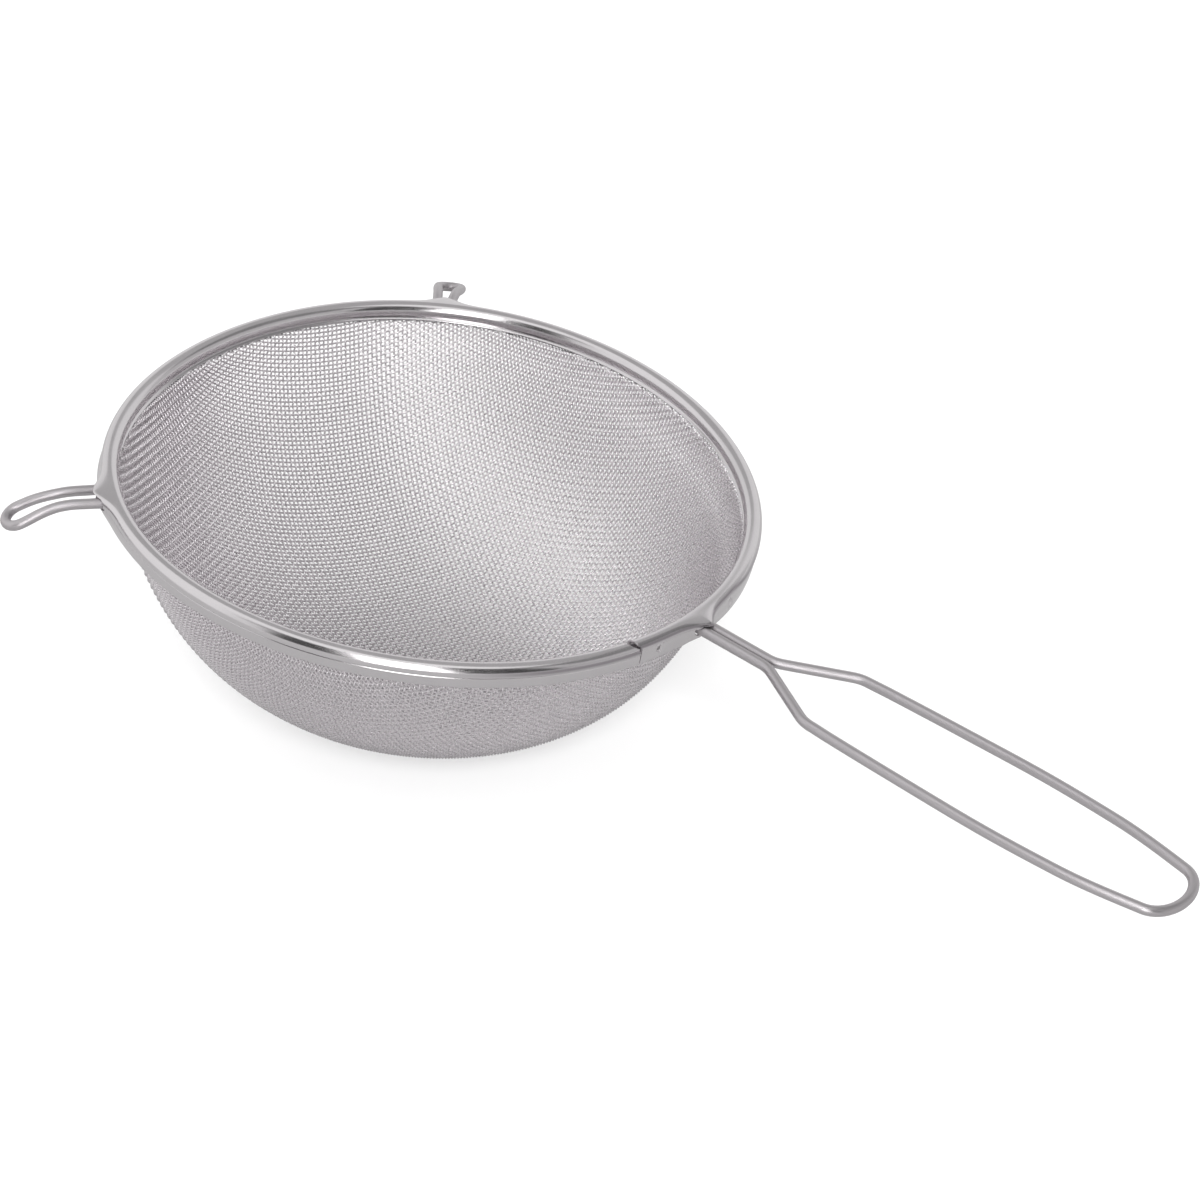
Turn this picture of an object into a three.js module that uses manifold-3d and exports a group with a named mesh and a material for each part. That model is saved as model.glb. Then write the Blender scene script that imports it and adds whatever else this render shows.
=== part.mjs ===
// Kitchen mesh strainer: woven bowl, rolled sheet rim, wire handle and two wire rest hooks.
// Built about the bowl's axis, then tipped as it stands on a table: balanced on the bowl.
import * as THREE from "three";
import Module from "manifold-3d";

// Rim, in millimetres
const rimDiameter = 200;
const beadDiameter = 5.5;
const sheetThickness = 0.5;
const skirtDepth = 4.45;
const skirtLean = 0.58;
const creaseStep = 0.3;
const lipReach = 1.65;
const lipDrop = 1.25;
const seamAngle = -13.7;
const seamGap = 0.4;

// Bowl
const meshOutside = 0.2;
const meshInside = 0.4;
const gridAcross = 12;
const openShare = 0.4;
const closedEdge = 5;
const bowlDepth = 75.2;
const wallLean = 0.163;
const floorShare = 0.614;
const wallShare = 0.6;
const lipClearance = 0.84;
const edgeClearance = 0.36;

// Wires
const wireDiameter = 3;
const wireHeight = -0.5;
const wireClearance = 0.2;
const bendSpare = 0.8;
const handleSlope = -0.017;
const handleLength = 166.3;
const neckLength = 27.1;
const splayLength = 31.1;
const gripWidest = 33.1;
const gripShares = [0.906, 0.961, 1, 0.927, 0.695];
const endRound = 6.9;
const handleFoot = 12.6;
const hookFoot = 9;

// Places round the rim, in degrees from the handle; half widths at the rim, midway and at the round end
const hooks = [
  {
    name: "hook_wire_left",
    angle: -126.9,
    straight: 8,
    bend: 32.2,
    dip: 27.5,
    halves: [3.5, 3.35, 4.45],
    length: 32.8,
    skew: 0,
  },
  {
    name: "hook_wire_back",
    angle: 128.3,
    straight: 5.5,
    bend: 23.4,
    dip: 24.4,
    halves: [2.2, 3, 3.8],
    length: 31.6,
    skew: -5.1,
  },
];
const welds = [
  { name: "weld_front", angle: -9.6 },
  { name: "weld_rear", angle: 9.6 },
];
const weldDiameter = 2.4;
const weldHeight = -1.75;
const weldGap = 0.3;

// Standing: the handle's weight tips the bowl, and a small flat marks where it touches the table
const restTilt = 6.9;
const flatDepth = 0.15;
const windowSpare = 0.35;

const wasm = await Module();
wasm.setup();
const degrees = Math.PI / 180;
const beadRadius = beadDiameter / 2;
const rimRadius = rimDiameter / 2 - beadRadius;
const rimOuter = rimDiameter / 2;
const wireRadius = wireDiameter / 2;
const bendRadius = wireRadius + bendSpare;
const neckHalf = (wireDiameter + wireClearance) / 2;
const handleEnd = rimOuter + handleLength;
const neckEnd = rimOuter + neckLength;
const gripStart = neckEnd + splayLength;
const gripHalf = gripShares.map((share) => (share * gripWidest) / 2);

// The lip's kink and its hidden corner, from the middle of the bead
const kink = -beadRadius * Math.SQRT1_2;
const lipSlant = Math.hypot(lipReach, lipDrop);
const lipSideX = (lipDrop / lipSlant) * sheetThickness;
const lipSideY = (-lipReach / lipSlant) * sheetThickness;

// The bowl's wall starts beside the lip, and its edge ends short of the skirt
const skirtOuter = beadRadius - creaseStep;
const wallRadius = rimRadius + kink - lipReach + lipSideX + lipClearance;
const wallTop = kink - lipDrop + lipSideY + 0.1;
const floorReach = floorShare * wallRadius;
const wallReach = wallShare * (bowlDepth + wallTop);
const edgeHeight = kink + lipSideY - meshInside - edgeClearance;
const skirtInside = rimRadius + skirtOuter - sheetThickness;
const edgeRadius = skirtInside + (skirtLean * edgeHeight) / skirtDepth - edgeClearance;

// A swept path with its stations where the list puts them.
class Stations extends THREE.Curve {
  constructor(points) {
    super();
    this.points = points;
  }
  getPoint(t) {
    const last = this.points.length - 1;
    const at = Math.min(Math.max(t, 0), 1) * last;
    const i = Math.min(Math.floor(at + 1e-6), last - 1);
    return new THREE.Vector3().lerpVectors(this.points[i], this.points[i + 1], at - i);
  }
  getPointAt(t) {
    return this.getPoint(t);
  }
  getTangentAt(t) {
    const last = this.points.length - 1;
    const i = Math.round(Math.min(Math.max(t, 0), 1) * last);
    const before = this.points[Math.max(i - 1, 0)];
    const after = this.points[Math.min(i + 1, last)];
    return new THREE.Vector3().subVectors(after, before).normalize();
  }
}

function sweep(outline, points) {
  const shape = new THREE.Shape(outline);
  const path = new Stations(points);
  return new THREE.ExtrudeGeometry(shape, {
    steps: points.length - 1,
    extrudePath: path,
    bevelEnabled: false,
  });
}

function toSolid(geometry) {
  const flat = geometry.index ? geometry.toNonIndexed() : geometry;
  const source = flat.getAttribute("position");
  const keys = new Map();
  const vertices = [];
  const triangles = [];
  for (let i = 0; i < source.count; i++) {
    const place = [source.getX(i), source.getY(i), source.getZ(i)];
    const key = place.map((value) => Math.round(value * 2000)).join(" ");
    if (!keys.has(key)) {
      keys.set(key, vertices.length / 3);
      vertices.push(...place);
    }
    triangles.push(keys.get(key));
  }
  const kept = [];
  for (let i = 0; i < triangles.length; i += 3) {
    const [a, b, c] = triangles.slice(i, i + 3);
    if (a !== b && b !== c && c !== a) kept.push(a, b, c);
  }
  return new wasm.Manifold(
    new wasm.Mesh({
      numProp: 3,
      vertProperties: new Float32Array(vertices),
      triVerts: new Uint32Array(kept),
    }),
  );
}

function toGeometry(solid) {
  const made = solid.getMesh();
  const geometry = new THREE.BufferGeometry();
  const places = new Float32Array(made.vertProperties);
  geometry.setAttribute("position", new THREE.BufferAttribute(places, 3));
  geometry.setIndex(new THREE.BufferAttribute(new Uint32Array(made.triVerts), 1));
  geometry.computeVertexNormals();
  return geometry;
}

// Round wire section: twelve sides with a flat side up and one down.
function wireSection() {
  const sides = 12;
  const list = [];
  for (let i = 0; i < sides; i++) {
    const turn = ((2 * i + 1) * Math.PI) / sides;
    list.push(new THREE.Vector2(wireRadius * Math.cos(turn), wireRadius * Math.sin(turn)));
  }
  return list;
}

function turned(point, angle) {
  return point.clone().applyAxisAngle(new THREE.Vector3(0, 0, 1), angle * degrees);
}

// Bowl middle line from the pole to the top of the wall.
function bowlLine(count) {
  const curve = new THREE.CubicBezierCurve(
    new THREE.Vector2(0, -bowlDepth),
    new THREE.Vector2(floorReach, -bowlDepth),
    new THREE.Vector2(
      wallRadius - wallReach * Math.sin(wallLean),
      wallTop - wallReach * Math.cos(wallLean),
    ),
    new THREE.Vector2(wallRadius, wallTop),
  );
  return curve.getPoints(count);
}

function offsetLine(line, distance) {
  return line.map((point, i) => {
    const before = line[Math.max(i - 1, 0)];
    const after = line[Math.min(i + 1, line.length - 1)];
    const along = new THREE.Vector2().subVectors(after, before).normalize();
    if (i === 0) along.set(1, 0);
    return new THREE.Vector2(point.x + along.y * distance, point.y - along.x * distance);
  });
}

function makeBowl() {
  const line = bowlLine(13);
  line.push(new THREE.Vector2(wallRadius + 0.5, wallTop + 0.35));
  line.push(new THREE.Vector2(wallRadius + 1.2, edgeHeight - 0.05));
  line.push(new THREE.Vector2(edgeRadius, edgeHeight));
  const outside = offsetLine(line, meshOutside);
  const inside = offsetLine(line, -meshInside);
  outside[0].x = 0;
  inside[0].x = 0;
  const profile = [...outside, ...inside.reverse()];
  const shell = new THREE.LatheGeometry(profile, 64).rotateX(Math.PI / 2);
  return toGeometry(toSolid(shell).subtract(wasm.Manifold.union(gridTools())));
}

// Gives the bowl's surface by the way along it from the pole and the turn about its axis.
function bowlSurface() {
  const line = bowlLine(400);
  const ways = [0];
  for (let i = 1; i < line.length; i++) ways.push(ways[i - 1] + line[i].distanceTo(line[i - 1]));
  const top = ways[ways.length - 1];
  const place = (way, turn) => {
    let i = 0;
    while (i < line.length - 2 && way > ways[i + 1]) i += 1;
    const share = (way - ways[i]) / (ways[i + 1] - ways[i]);
    const at = new THREE.Vector2().lerpVectors(line[i], line[i + 1], share);
    return new THREE.Vector3(at.x * Math.cos(turn), at.x * Math.sin(turn), at.y);
  };
  return { top, place };
}

// Where the surface lies one pitch from two neighbours, found by Newton steps from a first guess.
function netCorner(surface, first, second, pitch, guess) {
  let { way, turn } = guess;
  const small = 1e-4;
  const misses = (atWay, atTurn) => {
    const point = surface.place(atWay, atTurn);
    return [point.distanceTo(first) - pitch, point.distanceTo(second) - pitch];
  };
  for (let step = 0; step < 20; step++) {
    const here = misses(way, turn);
    const further = misses(way + small, turn);
    const turnedOn = misses(way, turn + small);
    const a = (further[0] - here[0]) / small;
    const b = (turnedOn[0] - here[0]) / small;
    const c = (further[1] - here[1]) / small;
    const d = (turnedOn[1] - here[1]) / small;
    const size = a * d - b * c;
    way -= (d * here[0] - b * here[1]) / size;
    turn -= (a * here[1] - c * here[0]) / size;
  }
  return { way, turn };
}

// A quarter of the mesh as it is pressed: every side of a cell keeps its length and the cells shear.
function quarterNet(surface, pitch, cells) {
  const net = [];
  for (let i = 0; i <= cells; i++) {
    net.push([{ way: i * pitch, turn: 0 }]);
    for (let j = 1; j <= cells; j++) {
      if (i === 0) {
        net[0].push({ way: j * pitch, turn: Math.PI / 2 });
        continue;
      }
      const left = net[i - 1][j];
      const right = net[i][j - 1];
      const back = net[i - 1][j - 1];
      const first = surface.place(left.way, left.turn);
      const second = surface.place(right.way, right.turn);
      const behind = surface.place(back.way, back.turn);
      const ahead = first.clone().add(second).sub(behind);
      const way = left.way + right.way - back.way;
      const guess = { way: Math.max(way, left.way, right.way), turn: Math.atan2(ahead.y, ahead.x) };
      net[i].push(netCorner(surface, first, second, pitch, guess));
    }
  }
  return net;
}

// A block through the bowl over the middle of one cell.
function gridTool(corners, sideX, sideY) {
  const places = corners.map((point) => new THREE.Vector3(sideX * point.x, sideY * point.y, point.z));
  if (sideX * sideY < 0) places.reverse();
  const middle = new THREE.Vector3();
  for (const point of places) middle.addScaledVector(point, 1 / places.length);
  const across = new THREE.Vector3().subVectors(places[2], places[0]);
  const other = new THREE.Vector3().subVectors(places[3], places[1]);
  const out = across.cross(other).normalize().multiplyScalar(beadDiameter);
  const share = Math.sqrt(openShare);
  const rims = places.map((point) => point.clone().sub(middle).multiplyScalar(share).add(middle));
  const all = [...rims.map((point) => point.clone().sub(out)), ...rims.map((point) => point.clone().add(out))];
  const order = [0, 2, 1, 0, 3, 2, 4, 5, 6, 4, 6, 7];
  for (let i = 0; i < 4; i++) {
    const j = (i + 1) % 4;
    order.push(i, j, j + 4, i, j + 4, i + 4);
  }
  const block = new THREE.BufferGeometry().setFromPoints(all);
  block.setIndex(order);
  return toSolid(block);
}

// A plain grid of openings stands in for the weave; the mesh stays closed along the rim.
function gridTools() {
  const surface = bowlSurface();
  const cells = gridAcross / 2;
  const pitch = surface.top / cells;
  const net = quarterNet(surface, pitch, cells);
  const limit = surface.top - closedEdge;
  const tools = [];
  for (let i = 0; i < cells; i++) {
    for (let j = 0; j < cells; j++) {
      const cell = [net[i][j], net[i + 1][j], net[i + 1][j + 1], net[i][j + 1]];
      if (cell.filter((corner) => corner.way > surface.top + 1e-6).length > 2) continue;
      const corners = cell.map((corner) => surface.place(Math.min(corner.way, limit), corner.turn));
      for (const sideX of [1, -1]) for (const sideY of [1, -1]) tools.push(gridTool(corners, sideX, sideY));
    }
  }
  return tools;
}

// Rim section in radius and height from the middle of the bead.
function rimSection() {
  const seen = [];
  const hidden = [];
  const creaseHeight = -sheetThickness / 5;
  seen.push([skirtOuter - skirtLean, -skirtDepth]);
  seen.push([skirtOuter, creaseHeight]);
  hidden.push([skirtOuter - skirtLean - sheetThickness, -skirtDepth]);
  hidden.push([skirtOuter - sheetThickness, creaseHeight]);
  const first = 8;
  const last = 225;
  const count = 9;
  for (let i = 0; i <= count; i++) {
    const turn = (first + ((last - first) * i) / count) * degrees;
    seen.push([beadRadius * Math.cos(turn), beadRadius * Math.sin(turn)]);
    const inner = beadRadius - sheetThickness;
    if (i > 0) hidden.push([inner * Math.cos(turn), inner * Math.sin(turn)]);
  }
  seen.push([kink - lipReach, kink - lipDrop]);
  hidden.push([kink + sheetThickness * 1.2, kink]);
  hidden.push([kink + lipSideX, kink + lipSideY]);
  hidden.push([kink - lipReach + lipSideX, kink - lipDrop + lipSideY]);
  const around = [...seen, ...hidden.reverse()];
  return around.map(([radius, height]) => new THREE.Vector2(-height, -radius));
}

function circlePoints(radius, height, from, to, count) {
  const list = [];
  for (let i = 0; i <= count; i++) {
    const angle = from + ((to - from) * i) / count;
    list.push(turned(new THREE.Vector3(radius, 0, height), angle));
  }
  return list;
}

// Window for a pair of wire legs: a slot with round ends, cut from the outside.
function windowTool(angle, half) {
  const tall = wireRadius + windowSpare;
  const slot = new THREE.Shape();
  slot.absarc(half - tall, 0, tall, -Math.PI / 2, Math.PI / 2, false);
  slot.absarc(tall - half, 0, tall, Math.PI / 2, (3 * Math.PI) / 2, false);
  const depth = beadDiameter;
  const made = new THREE.ExtrudeGeometry(slot, { depth, bevelEnabled: false, curveSegments: 10 });
  made.rotateX(Math.PI / 2).rotateZ(Math.PI / 2);
  made.translate(rimRadius + beadRadius * 0.36, 0, wireHeight);
  made.rotateZ(angle * degrees);
  return toSolid(made);
}

function weldDisc(diameter, from, to, angle) {
  const made = new THREE.CylinderGeometry(diameter / 2, diameter / 2, to - from, 24);
  made.rotateZ(Math.PI / 2).translate((from + to) / 2, 0, weldHeight);
  made.rotateZ(angle * degrees);
  return made;
}

const handleWindow = neckHalf + wireDiameter;
const skirtFace = rimRadius + skirtOuter;

function makeRim() {
  const half = (seamGap / rimRadius / degrees) * 0.5;
  const path = circlePoints(rimRadius, 0, seamAngle + half, seamAngle + 360 - half, 84);
  let solid = toSolid(sweep(rimSection(), path));
  solid = solid.subtract(windowTool(0, handleWindow));
  for (const hook of hooks) {
    solid = solid.subtract(windowTool(hook.angle, hook.halves[0] + wireDiameter));
  }
  for (const weld of welds) {
    const from = rimRadius + beadRadius * 0.33;
    const hole = weldDisc(weldDiameter + 2 * weldGap, from, skirtFace + beadRadius, weld.angle);
    solid = solid.subtract(toSolid(hole));
  }
  return toGeometry(solid);
}

function makeWeld(weld) {
  const outside = skirtFace - (skirtLean * -weldHeight) / skirtDepth;
  const sunk = sheetThickness / 6;
  return weldDisc(weldDiameter, outside - sheetThickness - sunk, outside - sunk, weld.angle);
}

// Half of a wire inside the rim: along the bead, then out through the window.
function footPoints(footAngle, half) {
  const turnY = half + bendRadius;
  const startAngle = Math.asin(turnY / rimRadius) / degrees;
  const list = circlePoints(rimRadius, wireHeight, footAngle, startAngle, 8);
  const cornerX = Math.sqrt(rimRadius ** 2 - turnY ** 2);
  for (let i = 1; i <= 6; i++) {
    const turn = (i / 6) * (Math.PI / 2);
    const x = cornerX + bendRadius * (1 - Math.cos(turn));
    const y = turnY - bendRadius * Math.sin(turn);
    list.push(new THREE.Vector3(x, y, wireHeight));
  }
  return list;
}

function mirrored(list) {
  return list.map((point) => new THREE.Vector3(point.x, -point.y, point.z)).reverse();
}

// Smooth line through half widths that never overshoots them, level at its start.
function smoothWidth(places, widths, endSlope) {
  const rise = places.slice(1).map((x, i) => (widths[i + 1] - widths[i]) / (x - places[i]));
  const slope = places.map((x, i) => {
    if (i === 0) return 0;
    if (i === places.length - 1) return rise[i - 1] * endSlope;
    if (rise[i - 1] * rise[i] <= 0) return 0;
    return (2 * rise[i - 1] * rise[i]) / (rise[i - 1] + rise[i]);
  });
  return (x) => {
    let i = 0;
    while (i < places.length - 2 && x > places[i + 1]) i += 1;
    const step = places[i + 1] - places[i];
    const t = Math.max(x - places[i], 0) / step;
    const start = (1 + 2 * t) * (1 - t) ** 2 * widths[i] + t * (1 - t) ** 2 * step * slope[i];
    const end = t * t * (3 - 2 * t) * widths[i + 1] + t * t * (t - 1) * step * slope[i + 1];
    return start + end;
  };
}

function gripWidth() {
  const roundStart = handleEnd - endRound;
  const places = [neckEnd];
  gripHalf.forEach((width, i) => {
    places.push(gripStart + ((roundStart - gripStart) * i) / (gripHalf.length - 1));
  });
  return smoothWidth(places, [neckHalf, ...gripHalf], 1.3);
}

function handleHeight(x) {
  return wireHeight + handleSlope * Math.max(x - rimRadius - bendRadius, 0);
}

function handleLine() {
  const half = footPoints(handleFoot, neckHalf);
  const neckSteps = 4;
  const neckFrom = half[half.length - 1].x;
  for (let i = 1; i <= neckSteps; i++) {
    const x = neckFrom + ((neckEnd - neckFrom) * i) / neckSteps;
    half.push(new THREE.Vector3(x, neckHalf, handleHeight(x)));
  }
  const width = gripWidth();
  const roundStart = handleEnd - endRound;
  const splaySteps = 14;
  for (let i = 1; i <= splaySteps; i++) {
    const x = neckEnd + ((gripStart - neckEnd) * i) / splaySteps;
    half.push(new THREE.Vector3(x, width(x), handleHeight(x)));
  }
  const gripSteps = 18;
  for (let i = 1; i <= gripSteps; i++) {
    const x = gripStart + ((roundStart - gripStart) * i) / gripSteps;
    half.push(new THREE.Vector3(x, width(x), handleHeight(x)));
  }
  const endHalf = gripHalf[gripHalf.length - 1];
  const endSteps = 9;
  for (let i = 1; i < endSteps; i++) {
    const turn = (i / endSteps) * (Math.PI / 2);
    const x = roundStart + endRound * Math.sin(turn);
    half.push(new THREE.Vector3(x, endHalf * Math.cos(turn), handleHeight(x)));
  }
  const tip = new THREE.Vector3(handleEnd, 0, handleHeight(handleEnd));
  return [...half, tip, ...mirrored(half)];
}

// Hook middle line: straight out, a bend, then straight down at the dip.
function hookPlace(hook, length) {
  const dip = hook.dip * degrees;
  const bendStart = rimOuter + hook.straight;
  const bent = Math.min(Math.max(length - bendStart, 0) / hook.bend, dip);
  const rest = Math.max(length - bendStart - hook.bend * dip, 0);
  const x = Math.min(length, bendStart) + hook.bend * Math.sin(bent) + rest * Math.cos(dip);
  const z = wireHeight - hook.bend * (1 - Math.cos(bent)) - rest * Math.sin(dip);
  return [x, z];
}

function hookLine(hook) {
  const [rimHalf, middleHalf, endHalf] = hook.halves;
  const half = footPoints(hookFoot, rimHalf);
  const place = (length, side) => {
    const [x, z] = hookPlace(hook, length);
    return new THREE.Vector3(x, side, z);
  };
  const start = half[half.length - 1].x;
  const roundStart = rimOuter + hook.length - wireRadius - endHalf;
  const places = [rimOuter, (rimOuter + roundStart) / 2, roundStart];
  const width = smoothWidth(places, [rimHalf, middleHalf, endHalf], 0);
  const steps = 16;
  for (let i = 1; i <= steps; i++) {
    const length = start + ((roundStart - start) * i) / steps;
    half.push(place(length, width(length)));
  }
  const endSteps = 6;
  for (let i = 1; i < endSteps; i++) {
    const turn = (i / endSteps) * (Math.PI / 2);
    half.push(place(roundStart + endHalf * Math.sin(turn), endHalf * Math.cos(turn)));
  }
  const whole = [...half, place(roundStart + endHalf, 0), ...mirrored(half)];
  const shear = Math.tan(hook.skew * degrees);
  return whole.map((point) => {
    const beyond = Math.max(point.x - rimOuter - hook.straight, 0);
    return turned(new THREE.Vector3(point.x, point.y + beyond * shear, point.z), hook.angle);
  });
}

// The lowest place of the tipped bowl becomes the origin.
function restPose() {
  const tilt = restTilt * degrees;
  const outside = offsetLine(bowlLine(400), meshOutside);
  const height = (point) => point.y * Math.cos(tilt) - point.x * Math.sin(tilt);
  let touch = outside[0];
  for (const point of outside) if (height(point) < height(touch)) touch = point;
  const touchX = touch.x * Math.cos(tilt) + touch.y * Math.sin(tilt);
  return { tilt, touchX, touchZ: height(touch) + flatDepth };
}

const pose = restPose();
const rest = new THREE.Matrix4().makeRotationY(pose.tilt);
rest.premultiply(new THREE.Matrix4().makeTranslation(-pose.touchX, 0, -pose.touchZ));

// What lies below the table is taken off, which leaves the small flat.
function standing(geometry) {
  const below = new THREE.BoxGeometry(2 * rimDiameter, 2 * rimDiameter, bowlDepth);
  below.translate(0, 0, -bowlDepth / 2);
  const laid = toSolid(geometry.applyMatrix4(rest));
  return toGeometry(laid.subtract(toSolid(below)));
}

const part = new THREE.Group();
part.name = "mesh_strainer";

function add(name, geometry, look) {
  const mesh = new THREE.Mesh(geometry, new THREE.MeshStandardMaterial(look));
  mesh.name = name;
  part.add(mesh);
}

const meshLook = { color: 0xb9b7b7, metalness: 1, roughness: 0.38 };
const rimLook = { color: 0xc8c6c6, metalness: 1, roughness: 0.14 };
const wireLook = { color: 0xc2c0c0, metalness: 1, roughness: 0.22 };

add("mesh_bowl", standing(makeBowl()), meshLook);
add("rim_band", makeRim().applyMatrix4(rest), rimLook);
add("handle_wire", sweep(wireSection(), handleLine()).applyMatrix4(rest), wireLook);
for (const hook of hooks) {
  add(hook.name, sweep(wireSection(), hookLine(hook)).applyMatrix4(rest), wireLook);
}
for (const weld of welds) add(weld.name, makeWeld(weld).applyMatrix4(rest), rimLook);

export default part;
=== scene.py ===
# Mesh strainer: woven bowl, rolled rim, wire handle and rest hooks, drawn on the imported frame
import bpy
import numpy as np
from mathutils import Matrix, Vector


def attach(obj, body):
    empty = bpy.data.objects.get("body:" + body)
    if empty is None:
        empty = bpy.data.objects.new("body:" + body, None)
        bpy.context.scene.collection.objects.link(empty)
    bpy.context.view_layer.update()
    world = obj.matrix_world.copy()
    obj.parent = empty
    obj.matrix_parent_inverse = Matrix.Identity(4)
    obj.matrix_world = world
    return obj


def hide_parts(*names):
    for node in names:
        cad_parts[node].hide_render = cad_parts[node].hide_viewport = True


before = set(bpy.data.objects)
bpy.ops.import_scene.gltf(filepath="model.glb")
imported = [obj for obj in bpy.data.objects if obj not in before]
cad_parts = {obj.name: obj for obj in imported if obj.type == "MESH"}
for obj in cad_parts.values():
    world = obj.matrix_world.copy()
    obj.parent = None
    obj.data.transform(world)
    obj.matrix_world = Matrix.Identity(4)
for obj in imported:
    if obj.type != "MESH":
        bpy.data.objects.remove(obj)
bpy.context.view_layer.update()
print("frame loaded:", sorted(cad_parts))

perMetre = 1000  # the object's lengths are in mm, and the studio's in metres
# How the strainer stands: its own axis leans towards the handle (mm, degrees)
stand = {"lean": 6.9, "rimX": -9.1366, "rimZ": 75.8562}
# The rim is pulled out where the wires leave it and drawn in between; the change fades down the wall
# and along the wires (mm, degrees)
lobes = {"angles": (0, 128.3, 233.1, 360), "pull": 1.0, "wallFrom": -14, "wallTo": -4,
         "wireFrom": 100, "wireTo": 125}


# From 0 to 1, level at both ends
def eased(x):
    x = np.clip(x, 0, 1)
    return x * x * (3 - 2 * x)


def lobed(x, y, z):
    r = np.hypot(x, y)
    turn = np.degrees(np.arctan2(y, x)) % 360
    phase = np.interp(turn, lobes["angles"], np.arange(len(lobes["angles"])))
    fade = eased((z - lobes["wallFrom"]) / (lobes["wallTo"] - lobes["wallFrom"]))
    fade = fade * eased((lobes["wireTo"] - r) / (lobes["wireTo"] - lobes["wireFrom"]))
    more = 1 + lobes["pull"] * np.cos(2 * np.pi * phase) * fade / np.maximum(r, 1)
    return x * more, y * more, z


# From the strainer's own frame (axis up, handle along X, bead's middle at 0, mm) to the standing frame (m)
def standing(points):
    a = np.radians(stand["lean"])
    x, y, z = lobed(*np.moveaxis(np.asarray(points, float), -1, 0))
    alongX = x * np.cos(a) + z * np.sin(a) + stand["rimX"]
    alongZ = z * np.cos(a) - x * np.sin(a) + stand["rimZ"]
    return np.stack([alongX, y, alongZ], -1) / perMetre


def unit(vectors):
    length = np.linalg.norm(vectors, axis=-1, keepdims=True)
    return vectors / np.maximum(length, 1e-12)


# Length run along a line of points, from its first
def lengthAlong(line):
    return np.concatenate([[0], np.cumsum(np.linalg.norm(np.diff(line, axis=0), axis=1))])


# Faces between two rings of points, from the numbers of the rings' first points
def ringQuads(first, second, sides):
    k = np.arange(sides)
    after = (k + 1) % sides
    return np.stack([first + k, first + after, second + after, second + k], -1).reshape(-1, 4)


# Corners of those faces on the flat map: along the tube, then round it
def tubeMap(left, right, low, high):
    corners = [np.stack(pair, -1) for pair in ((left, low), (left, high), (right, high), (right, low))]
    return np.stack(corners, 2).reshape(-1, 2)


# Points and faces as arrays become one mesh object at the origin; faces may be quads, triangles or both
def putMesh(name, points, quads, tris=None, uv=None, uvName="OFBake"):
    tris = np.zeros((0, 3), int) if tris is None else tris
    mesh = bpy.data.meshes.new(name)
    corners = np.concatenate([quads.ravel(), tris.ravel()]).astype(np.int32)
    starts = np.concatenate([np.arange(len(quads)) * 4, len(quads) * 4 + np.arange(len(tris)) * 3])
    mesh.vertices.add(len(points))
    mesh.vertices.foreach_set("co", np.ascontiguousarray(points, np.float32).ravel())
    mesh.loops.add(len(corners))
    mesh.loops.foreach_set("vertex_index", corners)
    mesh.polygons.add(len(starts))
    mesh.polygons.foreach_set("loop_start", starts.astype(np.int32))
    mesh.polygons.foreach_set("use_smooth", np.ones(len(starts), bool))
    mesh.update(calc_edges=True)
    if uv is not None:
        layer = mesh.uv_layers.new(name=uvName)
        layer.data.foreach_set("uv", np.ascontiguousarray(uv, np.float32).ravel())
    mesh.validate()
    piece = bpy.data.objects.new(name, mesh)
    bpy.context.scene.collection.objects.link(piece)
    return piece


def finishPiece(piece, material, slot, *nodes):
    piece.data.materials.append(material)
    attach(piece, "root")
    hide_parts(*nodes)


# Camera: the photo's view of the rim, as measured (px of a 1200 px frame, degrees, mm; clip in metres)
view = {"focal": 3600, "frame": 1200, "rimU": 435.97, "rimV": 478.37, "elevation": 33.66,
        "roll": 6.623, "distance": 1093.4, "handleTurn": -36.275, "sensor": 36, "clip": (0.05, 20)}


def turnAbout(axis, degrees):
    return np.array(Matrix.Rotation(np.radians(degrees), 3, axis))


# The rim's middle lies along one ray of the camera; the camera is first aimed at it, rolled, then swung
# by the smallest turn that puts that ray where the photo has it
def placeCamera():
    half = view["frame"] / 2
    across = (view["rimU"] - half) / view["focal"]
    down = (view["rimV"] - half) / view["focal"]
    ray = unit(np.array([across, down, 1.0]))
    e = np.radians(view["elevation"])
    level = np.array([[1, 0, 0], [0, -np.sin(e), -np.cos(e)], [0, np.cos(e), -np.sin(e)]])
    axis = unit(np.cross([0, 0, 1.0], ray))
    swing = np.array(Matrix.Rotation(np.arccos(ray[2]), 3, axis.tolist()))
    lean = turnAbout("Y", stand["lean"])
    toCamera = swing @ turnAbout("Z", view["roll"]) @ level @ turnAbout("Z", view["handleTurn"]) @ lean.T
    rimMiddle = np.array([stand["rimX"], 0, stand["rimZ"]])
    eye = rimMiddle - toCamera.T @ (ray * view["distance"])
    pose = Matrix.Identity(4)
    blenderAxes = (np.diag([1, -1, -1]) @ toCamera).T
    for row in range(3):
        for column in range(3):
            pose[row][column] = blenderAxes[row, column]
        pose[row][3] = eye[row] / perMetre
    lens = bpy.data.cameras.new("photo_view")
    lens.sensor_width = view["sensor"]
    lens.lens = view["sensor"] * view["focal"] / view["frame"]
    lens.clip_start, lens.clip_end = view["clip"]
    camera = bpy.data.objects.new("photo_view", lens)
    bpy.context.scene.collection.objects.link(camera)
    camera.matrix_world = pose
    bpy.context.scene.camera = camera
    print("camera at", np.round(eye, 1), "mm")


placeCamera()

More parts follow.
